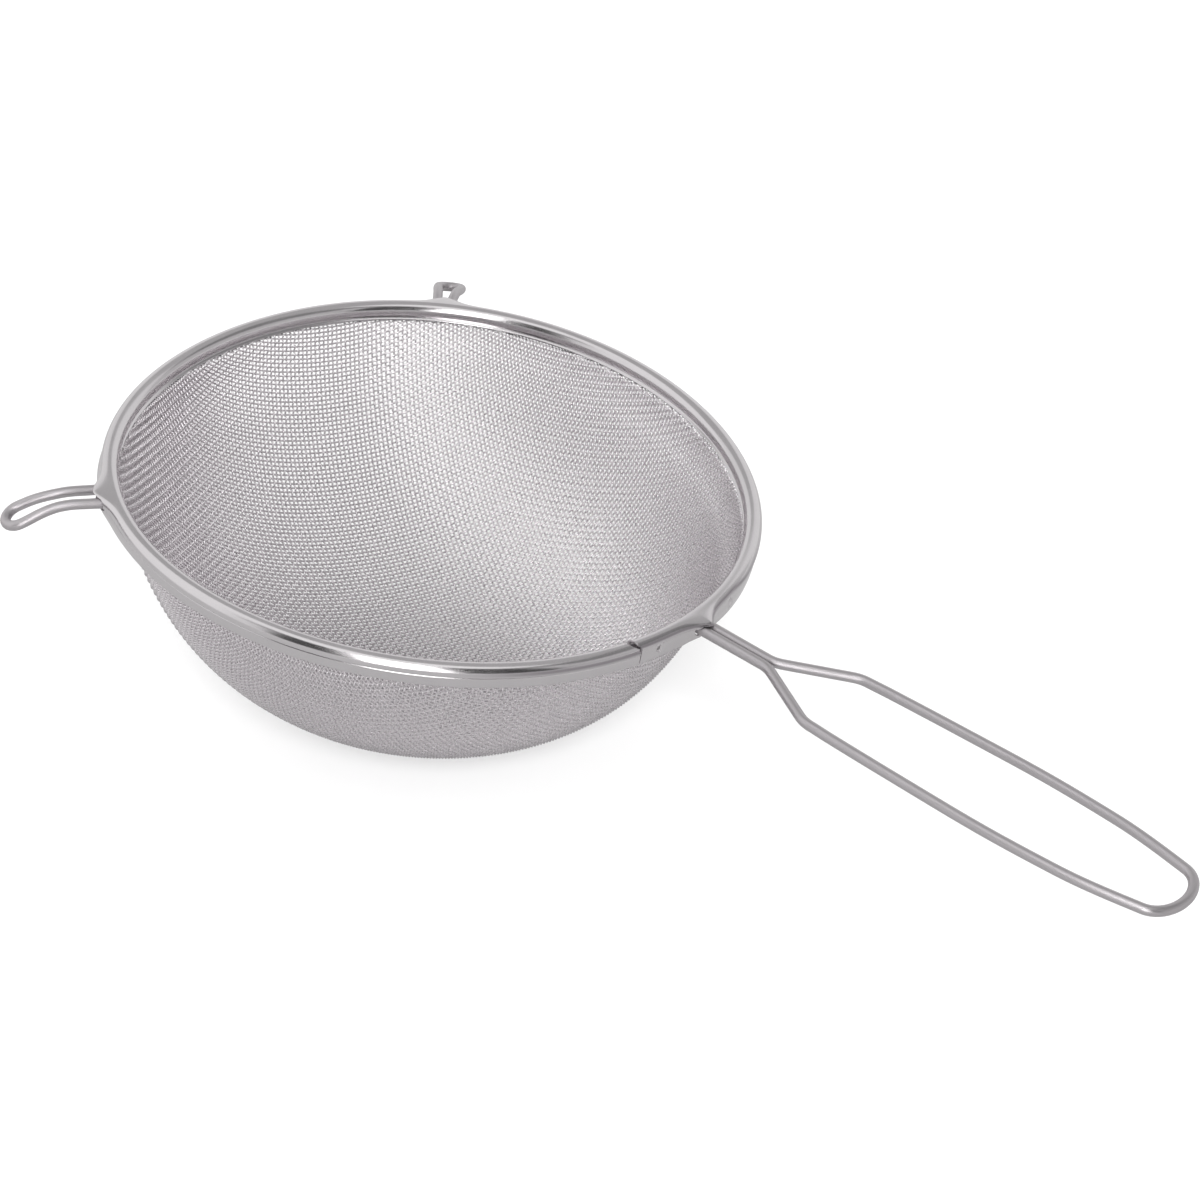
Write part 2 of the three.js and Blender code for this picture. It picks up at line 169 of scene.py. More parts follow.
# Studio: a floor that shows white, white surroundings, a soft key, a dim silk overhead, and cards on a sphere
# round the object: a bright panel near the camera's bearing, a dark screen on each side of it, and dimmer
# boxes and a shade above and further round; turns are degrees from the camera's bearing, heights are degrees
# up, lengths are metres
studio = {"floorSize": 9.0, "floorColour": 0.53, "floorGlow": 0.47, "surround": 0.95, "surroundFill": 0.95,
          "key": {"turn": 0, "height": 37, "power": 2.2, "softness": 16},
          "silk": {"height": 1.5, "half": 1.7, "glow": 0.55}, "away": 1.4, "cardPoints": 9,
          "cards": {"panel": {"turns": (-17, 6), "heights": (6, 60), "glow": 5.0},
                    "box_high": {"turns": (-70, 70), "heights": (60, 86), "glow": 1.2},
                    "screen_left": {"turns": (-46, -18), "heights": (6, 56), "glow": 0.06},
                    "screen_right": {"turns": (7, 40), "heights": (6, 56), "glow": 0.06},
                    "box_left": {"turns": (-125, -60), "heights": (8, 84), "glow": 1.1},
                    "box_right": {"turns": (42, 125), "heights": (8, 36), "glow": 0.65},
                    "shade_right": {"turns": (50, 125), "heights": (36, 60), "glow": 0.3}}}


def glowing(name, level):
    material = bpy.data.materials.new(name)
    material.use_nodes = True
    nodes, links = material.node_tree.nodes, material.node_tree.links
    nodes.clear()
    out = nodes.new("ShaderNodeOutputMaterial")
    glow = nodes.new("ShaderNodeEmission")
    glow.inputs["Strength"].default_value = level
    links.new(glow.outputs[0], out.inputs["Surface"])
    return material


# 1 for rays from the camera, from gloss and through glass, and 0 for the rest
def seenByEye(nodes, links):
    rays = nodes.new("ShaderNodeLightPath")
    first = nodes.new("ShaderNodeMath")
    first.operation = "MAXIMUM"
    links.new(rays.outputs["Is Camera Ray"], first.inputs[0])
    links.new(rays.outputs["Is Glossy Ray"], first.inputs[1])
    seen = nodes.new("ShaderNodeMath")
    seen.operation = "MAXIMUM"
    links.new(first.outputs[0], seen.inputs[0])
    links.new(rays.outputs["Is Transmission Ray"], seen.inputs[1])
    return seen.outputs[0]


# Matt floor that glows a little for the camera alone, so that it shows white and keeps the shadow
def makeFloor():
    half = studio["floorSize"] / 2
    points = np.array([[-half, -half, 0], [half, -half, 0], [half, half, 0], [-half, half, 0]])
    floor = putMesh("floor", points, np.array([[0, 1, 2, 3]]))
    material = glowing("floor_white", studio["floorGlow"])
    nodes, links = material.node_tree.nodes, material.node_tree.links
    glow, out = nodes["Emission"], nodes["Material Output"]
    strength = nodes.new("ShaderNodeMath")
    strength.operation = "MULTIPLY"
    strength.inputs[1].default_value = studio["floorGlow"]
    rays = nodes.new("ShaderNodeLightPath")
    links.new(rays.outputs["Is Camera Ray"], strength.inputs[0])
    links.new(strength.outputs[0], glow.inputs["Strength"])
    matt = nodes.new("ShaderNodeBsdfDiffuse")
    matt.inputs["Color"].default_value = (studio["floorColour"],) * 3 + (1,)
    both = nodes.new("ShaderNodeAddShader")
    links.new(matt.outputs[0], both.inputs[0])
    links.new(glow.outputs[0], both.inputs[1])
    links.new(both.outputs[0], out.inputs["Surface"])
    floor.data.materials.append(material)


def makeSurround():
    world = bpy.data.worlds.new("studio")
    bpy.context.scene.world = world
    world.use_nodes = True
    nodes, links = world.node_tree.nodes, world.node_tree.links
    level = nodes.new("ShaderNodeMapRange")
    links.new(seenByEye(nodes, links), level.inputs["Value"])
    level.inputs["To Min"].default_value = studio["surroundFill"]
    level.inputs["To Max"].default_value = studio["surround"]
    nodes["Background"].inputs["Color"].default_value = (1, 1, 1, 1)
    links.new(level.outputs["Result"], nodes["Background"].inputs["Strength"])


def cameraBearing():
    return np.arctan2(*(np.array(bpy.context.scene.camera.matrix_world.translation)[[1, 0]]))


# Cards are seen in the metal alone: they throw no shadow and put no light on the floor
def hangCard(piece, glow):
    piece.data.materials.append(glowing(piece.name, glow))
    piece.visible_camera = False
    piece.visible_diffuse = False
    piece.visible_shadow = False


def makeKey():
    key = studio["key"]
    lamp = bpy.data.lights.new("key", "SUN")
    lamp.energy = key["power"]
    lamp.angle = np.radians(key["softness"])
    holder = bpy.data.objects.new("key", lamp)
    bpy.context.scene.collection.objects.link(holder)
    turn, height = cameraBearing() + np.radians(key["turn"]), np.radians(key["height"])
    towards = Vector((np.cos(height) * np.cos(turn), np.cos(height) * np.sin(turn), np.sin(height)))
    holder.rotation_euler = towards.to_track_quat("Z", "Y").to_euler()
    holder.visible_glossy = False


# A piece of a sphere round the object, between two turns and two heights
def makeCard(name, card):
    count = studio["cardPoints"]
    turns = cameraBearing() + np.radians(np.linspace(*card["turns"], count))
    heights = np.radians(np.linspace(*card["heights"], count))[:, None]
    level = np.cos(heights)
    points = np.stack([level * np.cos(turns), level * np.sin(turns), np.sin(heights) + 0 * turns], -1)
    k = (np.arange(count - 1)[:, None] * count + np.arange(count - 1)).ravel()
    quads = np.stack([k, k + count, k + count + 1, k + 1], -1)
    piece = putMesh(name, points.reshape(-1, 3) * studio["away"], quads)
    hangCard(piece, card["glow"])


def makeSilk():
    silk = studio["silk"]
    corners = np.array([[-1, -1], [-1, 1], [1, 1], [1, -1]]) * silk["half"]
    points = np.column_stack([corners, np.full(len(corners), silk["height"])])
    hangCard(putMesh("silk", points, np.array([[0, 1, 2, 3]])), silk["glow"])


makeFloor()
makeSurround()
makeKey()
makeSilk()
for name, card in studio["cards"].items():
    makeCard(name, card)
bpy.context.scene.view_settings.view_transform = "Standard"
print("studio set")

# Finishes: grain is how fine the cloudy pattern is on the object's own place, and stretch lays the pattern
# along a wire's length map instead; the sheet's crease colour is painted shade, which darkens the crease
finishes = {
    "weave": {"colour": (0.755, 0.722, 0.744), "rough": 0.28, "grain": 900, "vary": 0.06},
    "sheet": {"colour": (0.61, 0.588, 0.6), "rough": 0.19, "grain": 90, "vary": 0.1, "bump": 0.05,
              # the sheet's last colour is painted shade: it darkens the crease where the bead's underside is
              # shaded
              "paintedShade": (0.5, 0.48, 0.5)},
    "drawn": {"colour": (0.48, 0.458, 0.471), "rough": 0.46, "stretch": (0.012, 9.0, 1.0), "vary": 0.08,
              "bump": 0.12},
    "weld": {"colour": (0.3, 0.285, 0.29), "rough": 0.3, "grain": 1500, "vary": 0.6, "bump": 0.5},
}
cloudLook = {"detail": 4, "middle": 0.5, "roughChange": 0.8, "reliefDepth": 0.0002}  # depth in metres
lengthMap = "length"
# name of the attribute that says where painted shade darkens the sheet's crease
paintedShadeMark = "crease"


# Shared look of worked steel: soft cloudy change of colour and roughness, and a fine height
def steelGroup():
    group = bpy.data.node_groups.new("steel_touch", "ShaderNodeTree")
    face = group.interface
    for name, kind in (("Colour", "NodeSocketColor"), ("Roughness", "NodeSocketFloat"),
                       ("Grain", "NodeSocketFloat"), ("Vary", "NodeSocketFloat"),
                       ("Place", "NodeSocketVector")):
        face.new_socket(name, in_out="INPUT", socket_type=kind)
    for name, kind in (("Colour", "NodeSocketColor"), ("Roughness", "NodeSocketFloat"),
                       ("Height", "NodeSocketFloat")):
        face.new_socket(name, in_out="OUTPUT", socket_type=kind)
    nodes, links = group.nodes, group.links
    given = nodes.new("NodeGroupInput")
    out = nodes.new("NodeGroupOutput")
    cloud = nodes.new("ShaderNodeTexNoise")
    cloud.inputs["Detail"].default_value = cloudLook["detail"]
    links.new(given.outputs["Place"], cloud.inputs["Vector"])
    links.new(given.outputs["Grain"], cloud.inputs["Scale"])
    centred = nodes.new("ShaderNodeMath")
    centred.operation = "SUBTRACT"
    centred.inputs[1].default_value = cloudLook["middle"]
    links.new(cloud.outputs["Fac"], centred.inputs[0])
    swing = nodes.new("ShaderNodeMath")  # one, plus the cloud around zero times the asked change
    swing.operation = "MULTIPLY_ADD"
    swing.inputs[2].default_value = 1
    links.new(centred.outputs[0], swing.inputs[0])
    links.new(given.outputs["Vary"], swing.inputs[1])
    tint = nodes.new("ShaderNodeVectorMath")
    tint.operation = "SCALE"
    links.new(given.outputs["Colour"], tint.inputs[0])
    links.new(swing.outputs[0], tint.inputs["Scale"])
    links.new(tint.outputs[0], out.inputs["Colour"])
    wide = nodes.new("ShaderNodeMath")
    wide.operation = "MULTIPLY_ADD"
    wide.inputs[1].default_value = cloudLook["roughChange"]
    wide.inputs[2].default_value = 1
    links.new(centred.outputs[0], wide.inputs[0])
    rough = nodes.new("ShaderNodeMath")
    rough.operation = "MULTIPLY"
    links.new(given.outputs["Roughness"], rough.inputs[0])
    links.new(wide.outputs[0], rough.inputs[1])
    links.new(rough.outputs[0], out.inputs["Roughness"])
    links.new(cloud.outputs["Fac"], out.inputs["Height"])
    return group


steelTouch = steelGroup()


# One steel finish; the piece's own attribute says where painted shade darkens it
def steel(name):
    made = finishes[name]
    material = bpy.data.materials.new("steel_" + name)
    material.use_nodes = True
    nodes, links = material.node_tree.nodes, material.node_tree.links
    skin = nodes["Principled BSDF"]
    skin.inputs["Metallic"].default_value = 1
    touch = nodes.new("ShaderNodeGroup")
    touch.node_tree = steelTouch
    touch.inputs["Colour"].default_value = made["colour"] + (1,)
    touch.inputs["Roughness"].default_value = made["rough"]
    touch.inputs["Grain"].default_value = made.get("grain", 1)
    touch.inputs["Vary"].default_value = made["vary"]
    if "stretch" in made:
        layout = nodes.new("ShaderNodeUVMap")
        layout.uv_map = lengthMap
        squeeze = nodes.new("ShaderNodeMapping")
        squeeze.inputs["Scale"].default_value = made["stretch"]
        links.new(layout.outputs["UV"], squeeze.inputs["Vector"])
        links.new(squeeze.outputs["Vector"], touch.inputs["Place"])
    else:
        place = nodes.new("ShaderNodeTexCoord")
        links.new(place.outputs["Object"], touch.inputs["Place"])
    colour = touch.outputs["Colour"]
    # painted shade: the attribute mixes the colour towards a darker one along the crease
    if "paintedShade" in made:
        mark = nodes.new("ShaderNodeAttribute")
        mark.attribute_name = paintedShadeMark
        darker = nodes.new("ShaderNodeMix")  # its colour sockets are inputs 6 and 7 and output 2
        darker.data_type = "RGBA"
        darker.blend_type = "MULTIPLY"
        links.new(mark.outputs["Fac"], darker.inputs[0])
        links.new(colour, darker.inputs[6])
        darker.inputs[7].default_value = made["paintedShade"] + (1,)
        colour = darker.outputs[2]
    links.new(colour, skin.inputs["Base Color"])
    links.new(touch.outputs["Roughness"], skin.inputs["Roughness"])
    if "bump" in made:
        relief = nodes.new("ShaderNodeBump")
        relief.inputs["Strength"].default_value = made["bump"]
        relief.inputs["Distance"].default_value = cloudLook["reliefDepth"]
        links.new(touch.outputs["Height"], relief.inputs["Height"])
        links.new(relief.outputs["Normal"], skin.inputs["Normal"])
    return material


weaveSteel = steel("weave")
sheetSteel = steel("sheet")
drawnSteel = steel("drawn")
weldSteel = steel("weld")
print("finishes made")

# Bowl: middle line of the mesh as one cubic from the pole to the lip, then the edge turned out; past holds
# the start, end and count of the points that carry the wall straight on (mm, degrees)
bowl = {"depth": 75.2, "wall": 94.797, "top": -3.493, "floorReach": 58.206, "wallReach": 43.024,
        "lean": 0.163, "edge": ((95.15, -3.36), (95.9, -3.45), (98.3, -3.45)), "curvePoints": 3001,
        "past": (0.05, 60, 600), "pitchAlong": 1.488, "pitchAcross": 1.42, "wire": 0.6, "settle": 0.5,
        "settleOver": 25, "warpLift": 0.4, "weftLift": 1.6, "crimp": 0.97, "turn": 61.3, "sides": 5,
        "fuller": 1.06, "reach": 108, "groups": 5, "mapFrom": 0.08, "mapShare": 0.84,
        "drawIn": {"most": 2.1, "towards": 28, "from": -4, "full": -18, "fade": -18, "gone": -56}}
# Search for the crossings: rounds, largest steps in arc and angle, least arc, and how far past the wall's
# top a crossing is only guessed (mm, radians)
netSearch = {"rounds": 10, "arcStep": 1, "angleStep": 0.2, "arcLeast": 0.1, "guessPast": 12, "tiny": 1e-9}


def bowlTable():
    t = np.linspace(0, 1, bowl["curvePoints"])[:, None]
    a = np.array([0, -bowl["depth"]])
    b = np.array([bowl["floorReach"], -bowl["depth"]])
    d = np.array([bowl["wall"], bowl["top"]])
    c = d - bowl["wallReach"] * np.array([np.sin(bowl["lean"]), np.cos(bowl["lean"])])
    line = (1 - t) ** 3 * a + 3 * t * (1 - t) ** 2 * b + 3 * t * t * (1 - t) * c + t ** 3 * d
    step = unit(line[-1] - line[-2])
    further = line[-1] + np.linspace(*bowl["past"])[:, None] * step
    line = np.concatenate([line, further])
    arc = lengthAlong(line)
    slope = np.gradient(line, arc, axis=0)
    return arc, line, slope, arc[bowl["curvePoints"] - 1]


arcTable, lineTable, slopeTable, arcTop = bowlTable()
# Where the wires end up: past the wall's top the edge is turned out under the rim
edgeLine = np.concatenate([lineTable[:bowl["curvePoints"]], np.array(bowl["edge"])])
edgeArc = lengthAlong(edgeLine)


def onBowl(arc, angle):
    r = np.interp(arc, arcTable, lineTable[:, 0])
    return np.stack([r * np.cos(angle), r * np.sin(angle), np.interp(arc, arcTable, lineTable[:, 1])], -1)


# A pressed mesh keeps its pitch along every wire and only shears: each crossing lies one pitch from its two
# neighbours nearer the pole. One quarter is marched out, a diagonal at a time, by Newton steps in arc
# and angle
def pressedNet(along, across, count):
    arc = np.zeros((count, count))
    angle = np.zeros((count, count))
    arc[:, 0] = np.arange(count) * along
    arc[0, :] = np.arange(count) * across
    angle[0, :] = np.pi / 2
    place = np.zeros((count, count, 3))
    place[:, 0] = onBowl(arc[:, 0], angle[:, 0])
    place[0, :] = onBowl(arc[0, :], angle[0, :])
    arcStep, angleStep, tiny = netSearch["arcStep"], netSearch["angleStep"], netSearch["tiny"]
    for k in range(2, 2 * count - 1):
        i = np.arange(max(1, k - count + 1), min(count - 1, k - 1) + 1)
        j = k - i
        one, two = place[i - 1, j], place[i, j - 1]
        guess = one + two - place[i - 1, j - 1]
        b = np.arctan2(guess[:, 1], guess[:, 0])
        a = arc[i - 1, j] + arc[i, j - 1] - arc[i - 1, j - 1]
        firstA, firstB = a, b
        far = a > arcTop + netSearch["guessPast"]  # these stay where they are guessed
        for _ in range(netSearch["rounds"]):
            here = onBowl(a, b)
            rise = np.interp(a, arcTable, slopeTable[:, 0])
            drop = np.interp(a, arcTable, slopeTable[:, 1])
            byArc = np.stack([rise * np.cos(b), rise * np.sin(b), drop], -1)
            byAngle = np.stack([-here[:, 1], here[:, 0], 0 * a], -1)
            offOne = ((here - one) ** 2).sum(-1) - along ** 2
            offTwo = ((here - two) ** 2).sum(-1) - across ** 2
            oneByArc, oneByAngle = (2 * ((here - one) * by).sum(-1) for by in (byArc, byAngle))
            twoByArc, twoByAngle = (2 * ((here - two) * by).sum(-1) for by in (byArc, byAngle))
            det = oneByArc * twoByAngle - oneByAngle * twoByArc
            det = np.where(np.abs(det) < tiny, tiny, det)
            moveArc = (offOne * twoByAngle - offTwo * oneByAngle) / det
            moveAngle = (oneByArc * offTwo - twoByArc * offOne) / det
            a = np.clip(a - np.clip(moveArc, -arcStep, arcStep), netSearch["arcLeast"], arcTable[-1])
            b = b - np.clip(moveAngle, -angleStep, angleStep)
        a, b = np.where(far, firstA, a), np.where(far, firstB, b)
        arc[i, j], angle[i, j], place[i, j] = a, b, onBowl(a, b)
    return arc, angle, place


# The quarter mirrored to all four, as arrays over whole wires: place, outward normal and arc of a crossing
def wholeNet():
    count = bowl["reach"]
    arc, angle, _ = pressedNet(bowl["pitchAlong"], bowl["pitchAcross"], count)
    rise = np.interp(arc, arcTable, slopeTable[:, 0])
    drop = np.interp(arc, arcTable, slopeTable[:, 1])
    normal = np.stack([drop * np.cos(angle), drop * np.sin(angle), -rise], -1)
    normal = np.where((arc > arcTop)[..., None], [0.0, 0.0, -1.0], normal)
    r, z = np.interp(arc, edgeArc, edgeLine[:, 0]), np.interp(arc, edgeArc, edgeLine[:, 1])
    place = np.stack([r * np.cos(angle), r * np.sin(angle), z], -1)
    index = np.abs(np.arange(-count + 1, count))
    sign = np.sign(np.arange(-count + 1, count)).astype(float)
    sign[count - 1] = 1
    ones = np.ones((len(sign), len(sign)))
    flip = np.stack([sign[:, None] * ones, sign * ones, ones], -1)
    pick = np.ix_(index, index)
    return place[pick] * flip, normal[pick] * flip, arc[pick]


# The net turned to its place under the rim; on the handle's side the wall is drawn in a little below the rim
def turnedNet(points):
    x, y, z = (points @ turnAbout("Z", bowl["turn"]).T).T
    pull = bowl["drawIn"]
    depth = eased((pull["from"] - z) / (pull["from"] - pull["full"]))
    depth = depth * (1 - eased((pull["fade"] - z) / (pull["fade"] - pull["gone"])))
    facing = np.maximum(np.cos(np.arctan2(y, x) - np.radians(pull["towards"])), 0)
    less = 1 - pull["most"] * depth * facing / np.maximum(np.hypot(x, y), 1)
    return np.stack([x * less, y * less, z], -1)


# Tube faces, end caps and flat map of a group of wires, from which rings are kept and which are joined
def wireFaces(kept, joined):
    sides, samples = bowl["sides"], kept.shape[1]
    number = np.full(kept.shape, -1)
    number[kept] = np.arange(kept.sum())
    row, ring = np.nonzero(joined)
    quads = ringQuads(number[row, ring][:, None] * sides, number[row, ring + 1][:, None] * sides, sides)
    none = np.zeros((len(kept), 1), bool)
    starts = kept & ~np.concatenate([none, kept[:, :-1]], 1)
    ends = kept & ~np.concatenate([kept[:, 1:], none], 1)
    k = np.arange(sides)
    fan = np.stack([np.zeros(sides - 2, int), k[1:-1], k[2:]], -1)
    startCaps = number[starts][:, None, None] * sides + fan[:, ::-1]
    endCaps = number[ends][:, None, None] * sides + fan
    caps = np.concatenate([startCaps, endCaps]).reshape(-1, 3)
    low = (row[:, None] + bowl["mapFrom"] + bowl["mapShare"] * k / sides) / len(kept)
    high = (row[:, None] + bowl["mapFrom"] + bowl["mapShare"] * (k + 1) / sides) / len(kept)
    left, right = (ring / samples)[:, None] + 0 * low, ((ring + 1) / samples)[:, None] + 0 * low
    uv = np.concatenate([tubeMap(left, right, low, high), np.zeros((caps.size, 2))])
    return quads, caps, uv


# Wires of one family as tubes, two rings to a crossing: over at one crossing, under at the next; the weft is
# bent far more than the warp, so that its crowns stand out
def weaveWires(name, place, normal, arc, lift):
    wires, crossings = arc.shape
    radius = bowl["wire"] / 2
    samples = 2 * crossings - 1
    inside = arc <= edgeArc[-1]
    between = inside[:, 1:] & inside[:, :-1]
    # the weave is moved in, which keeps its lowest crowns within 0.3 mm of the floor
    place = place - normal * (bowl["settle"] * eased((arcTop - arc) / bowl["settleOver"]))[..., None]
    line = np.zeros((wires, samples, 3))
    line[:, 0::2] = place + normal * (lift * radius * bowl["crimp"])[..., None]
    line[:, 1::2] = np.where(between[..., None], (place[:, 1:] + place[:, :-1]) / 2, 0)
    up = np.zeros((wires, samples, 3))
    up[:, 0::2] = normal
    up[:, 1::2] = unit(normal[:, 1:] + normal[:, :-1])
    kept = np.zeros((wires, samples), bool)
    kept[:, 0::2] = inside
    kept[:, 1::2] = between
    joined = kept[:, 1:] & kept[:, :-1]
    step = np.where(joined[..., None], line[:, 1:] - line[:, :-1], 0)
    ahead = np.zeros_like(line)
    ahead[:, 1:] += step
    ahead[:, :-1] += step
    ahead = unit(ahead)
    side = unit(np.cross(ahead, up))
    lid = np.cross(side, ahead)
    turn = (np.arange(bowl["sides"]) + 0.5) * 2 * np.pi / bowl["sides"]
    ring = side[..., None, :] * np.cos(turn)[:, None] + lid[..., None, :] * np.sin(turn)[:, None]
    points = line[..., None, :] + ring * radius * bowl["fuller"]  # five sides, about as wide as a round wire
    rows = np.flatnonzero(joined.any(1))
    for part, group in enumerate(np.array_split(rows, bowl["groups"])):
        quads, caps, uv = wireFaces(kept[group], joined[group])
        vertices = standing(turnedNet(points[group][kept[group]].reshape(-1, 3)))
        piece = putMesh("%s_%d" % (name, part + 1), vertices, quads, caps, uv)
        finishPiece(piece, weaveSteel, "mesh", "mesh_bowl")
        print(piece.name, len(quads) * 2 + len(caps), "triangles")


netPlace, netNormal, netArc = wholeNet()
wireRow, wireColumn = np.indices(netArc.shape)
checker = np.where((wireRow + wireColumn) % 2 == 0, 1.0, -1.0)
weaveWires("warp", netPlace.transpose(1, 0, 2), netNormal.transpose(1, 0, 2), netArc.T,
           bowl["warpLift"] * checker.T)
weaveWires("weft", netPlace, netNormal, netArc, -bowl["weftLift"] * checker)
print("weave laid")

# Rim: one strip of sheet rolled round the mesh edge; heights and reaches are mm from the bead's middle, and
# turns are degrees round the bead, carried on down the skirt
rim = {"middle": 97.25, "bead": 2.75, "sheet": 0.5, "foot": (1.95, -4.4), "shoulder": (2.40, -1.1),
       "groove": (2.16, -0.92), "beadFrom": -13, "beadTo": 225, "lipTip": (-2.7, -2.52),
       "skirtTurns": (-90, -20), "grooveTurn": -16, "skirtPoints": 14, "beadPoints": 48, "lipPoints": 6,
       "step": 1.0, "fine": 0.2, "least": 0.4, "byOutlet": 8, "byWeld": 1.3, "bySeam": 3,
       "seam": -14.0, "seamGap": 0.17, "seamOver": 4,
       "seamSlant": ((-13, 0), (33, -0.6), (70, -0.88), (225, -0.95)),
       "seamOpen": ((38, 0.0), (55, 0.55), (78, 0.95), (95, 1.35), (125, 2.1), (225, 2.2)),
       "window": {"height": -0.5, "halfHeight": 1.85},
       # where painted shade darkens the crease: turn round the bead and width (degrees), and degrees round
       # the rim where it grows and fades
       "paintedShade": {"turn": 12, "wide": 16, "from": -50, "full": -30, "fade": 18, "gone": 40},
       "pressed": {"until": 10, "gone": 18, "turn": 32, "groove": (0.12, 1.5), "skirt": 1.5},
       "bevel": 0.12, "bevelAngle": 62}
# Where the wires leave the rim: half width of the window, and the hood over it
outlets = ({"angle": 0, "half": 3.6, "tent": 4.5, "spread": 4.3, "point": 1.35, "flare": 0.8,
            "flareAt": 6},
           {"angle": -126.9, "half": 5.6, "tent": 3.9, "spread": 6.2, "point": 1.8, "flare": 1.5,
            "flareAt": -7},
           {"angle": 128.3, "half": 4.3, "tent": 3.9, "spread": 5.2, "point": 1.8, "flare": 1.0,
            "flareAt": 0})
# How the hoods fade over the bead and down the skirt, and how wide the skirt flares (degrees)
hood = {"turns": (-89, 90), "roofGone": 92, "roofOver": 62, "skirtLeast": 0.18, "skirtMore": 0.42,
        "skirtOver": 70, "flareWide": 15, "flareTop": -10, "flareOver": 50}
# Spot welds of the handle's feet: a pit in the skirt with a soft ring round it and a nugget in its middle
# (mm, degrees)
welds = {"angles": {"front": -10.0, "rear": 9.6}, "height": -1.2, "pit": 0.5, "pitSize": 1.05, "pitPower": 4,
         "ring": 0.16, "ringAt": 1.45, "ringWide": 0.35, "nugget": 0.66, "crown": 0.3, "root": 0.3,
         "spokes": 20, "rings": 11}


# Section of the strip from the skirt's foot up, over the bead and down to the lip's tip; the second array is
# the turn round the bead at each point, carried on evenly along the skirt and held along the lip
def rimSection():
    skirt = np.linspace(rim["foot"], rim["shoulder"], rim["skirtPoints"])
    turn = np.radians(np.linspace(rim["beadFrom"], rim["beadTo"], rim["beadPoints"]))
    bead = rim["bead"] * np.stack([np.cos(turn), np.sin(turn)], -1)
    lip = np.linspace(bead[-1], rim["lipTip"], rim["lipPoints"])[1:]
    line = np.concatenate([skirt, [rim["groove"]], bead, lip])
    skirtTurn = np.linspace(*rim["skirtTurns"], rim["skirtPoints"])
    lipTurn = np.full(len(lip), rim["beadTo"])
    return line, np.concatenate([skirtTurn, [rim["grooveTurn"]], np.degrees(turn), lipTurn])


def wrapped(degrees):
    return (degrees + 180) % 360 - 180


# Columns round the rim: even steps, with small steps by the outlets, the welds and the seam
def rimColumns():
    start, fine = rim["seam"], rim["fine"]
    even = np.arange(start, start + 360, rim["step"])
    near = [np.arange(o["angle"] - rim["byOutlet"], o["angle"] + rim["byOutlet"], fine) for o in outlets]
    near += [np.arange(a - rim["byWeld"], a + rim["byWeld"], fine / 2) for a in welds["angles"].values()]
    near = np.concatenate(near + [start + np.arange(-rim["bySeam"], rim["bySeam"], fine)])
    near = np.where(near < start, near + 360, near)
    near = near[(near > start) & (near < start + 360)]
    every = np.sort(np.concatenate([even, near, [start + 360]]))
    keep = np.concatenate([[True], np.diff(every) > fine * rim["least"]])
    keep[-1] = True
    every = every[keep]
    every[-1] = start + 360
    return every


# From the seam past the handle the skirt is pressed flat on the handle's feet, so its crease lies higher
def pressFlat(theta, turn, reach, height):
    pressed = rim["pressed"]
    slack = 0.01  # degrees, for rounding
    flat = 1 - eased((theta - pressed["until"]) / (pressed["gone"] - pressed["until"]))
    onBead = (turn >= rim["beadFrom"] - slack) & (turn < rim["beadTo"] - slack)
    more = flat * pressed["turn"] * (rim["beadTo"] - turn) / (rim["beadTo"] - rim["beadFrom"])
    raised = np.radians(turn + more)
    reach = np.where(onBead, rim["bead"] * np.cos(raised), reach)
    height = np.where(onBead, rim["bead"] * np.sin(raised), height)
    onGroove, onSkirt = turn == rim["grooveTurn"], turn < rim["grooveTurn"]
    reach = reach + onGroove * flat * pressed["groove"][0]
    share = (height - rim["foot"][1]) / (rim["shoulder"][1] - rim["foot"][1])
    height = height + flat * (onGroove * pressed["groove"][1] + onSkirt * pressed["skirt"] * share)
    return reach, height


# Both ends lean along the bead, and the strip's last end is cut back over the bead and on the bowl's side
def leanSeam(theta, turn):
    atStart = np.clip(1 - (theta - theta[0]) / rim["seamOver"], 0, 1)
    atEnd = np.clip(1 - (theta[-1] - theta) / rim["seamOver"], 0, 1)
    gap = np.degrees(rim["seamGap"] / rim["middle"])
    theta = theta + np.interp(turn, *np.array(rim["seamSlant"]).T) * (atStart + atEnd)
    theta = theta + gap * atStart
    return theta - (gap + np.interp(turn, *np.array(rim["seamOpen"]).T)) * atEnd


# Points in an outlet's window, which is a stadium, and the push outwards with its hood added: the sheet
# stands out over the wires as a small roof, and a little below them
def hoodOver(outlet, theta, turn, height, push):
    across = np.radians(wrapped(theta - outlet["angle"])) * rim["middle"]
    straight = outlet["half"] - rim["window"]["halfHeight"]
    overX = np.sign(across) * np.maximum(np.abs(across) - straight, 0)
    overZ = height - rim["window"]["height"]
    outer = (turn < hood["turns"][1]) & (turn > hood["turns"][0])
    inside = outer & (np.hypot(overX, overZ) < rim["window"]["halfHeight"])
    onSkirt = turn < rim["grooveTurn"]
    tent = np.exp(-(np.abs(across) / outlet["spread"]) ** outlet["point"])
    roof = np.where(turn > 0, eased((hood["roofGone"] - turn) / hood["roofOver"]), 1.0)
    up = eased((turn - rim["skirtTurns"][0]) / hood["skirtOver"])
    skirt = np.where(onSkirt, hood["skirtLeast"] + hood["skirtMore"] * up, 1.0)
    push = push + outlet["tent"] * tent * roof * skirt * outer
    flare = np.exp(-(wrapped(theta - outlet["angle"] - outlet["flareAt"]) / hood["flareWide"]) ** 2)
    down = eased((hood["flareTop"] - turn) / hood["flareOver"])
    return inside, push + outlet["flare"] * flare * np.where(onSkirt, down, 0)


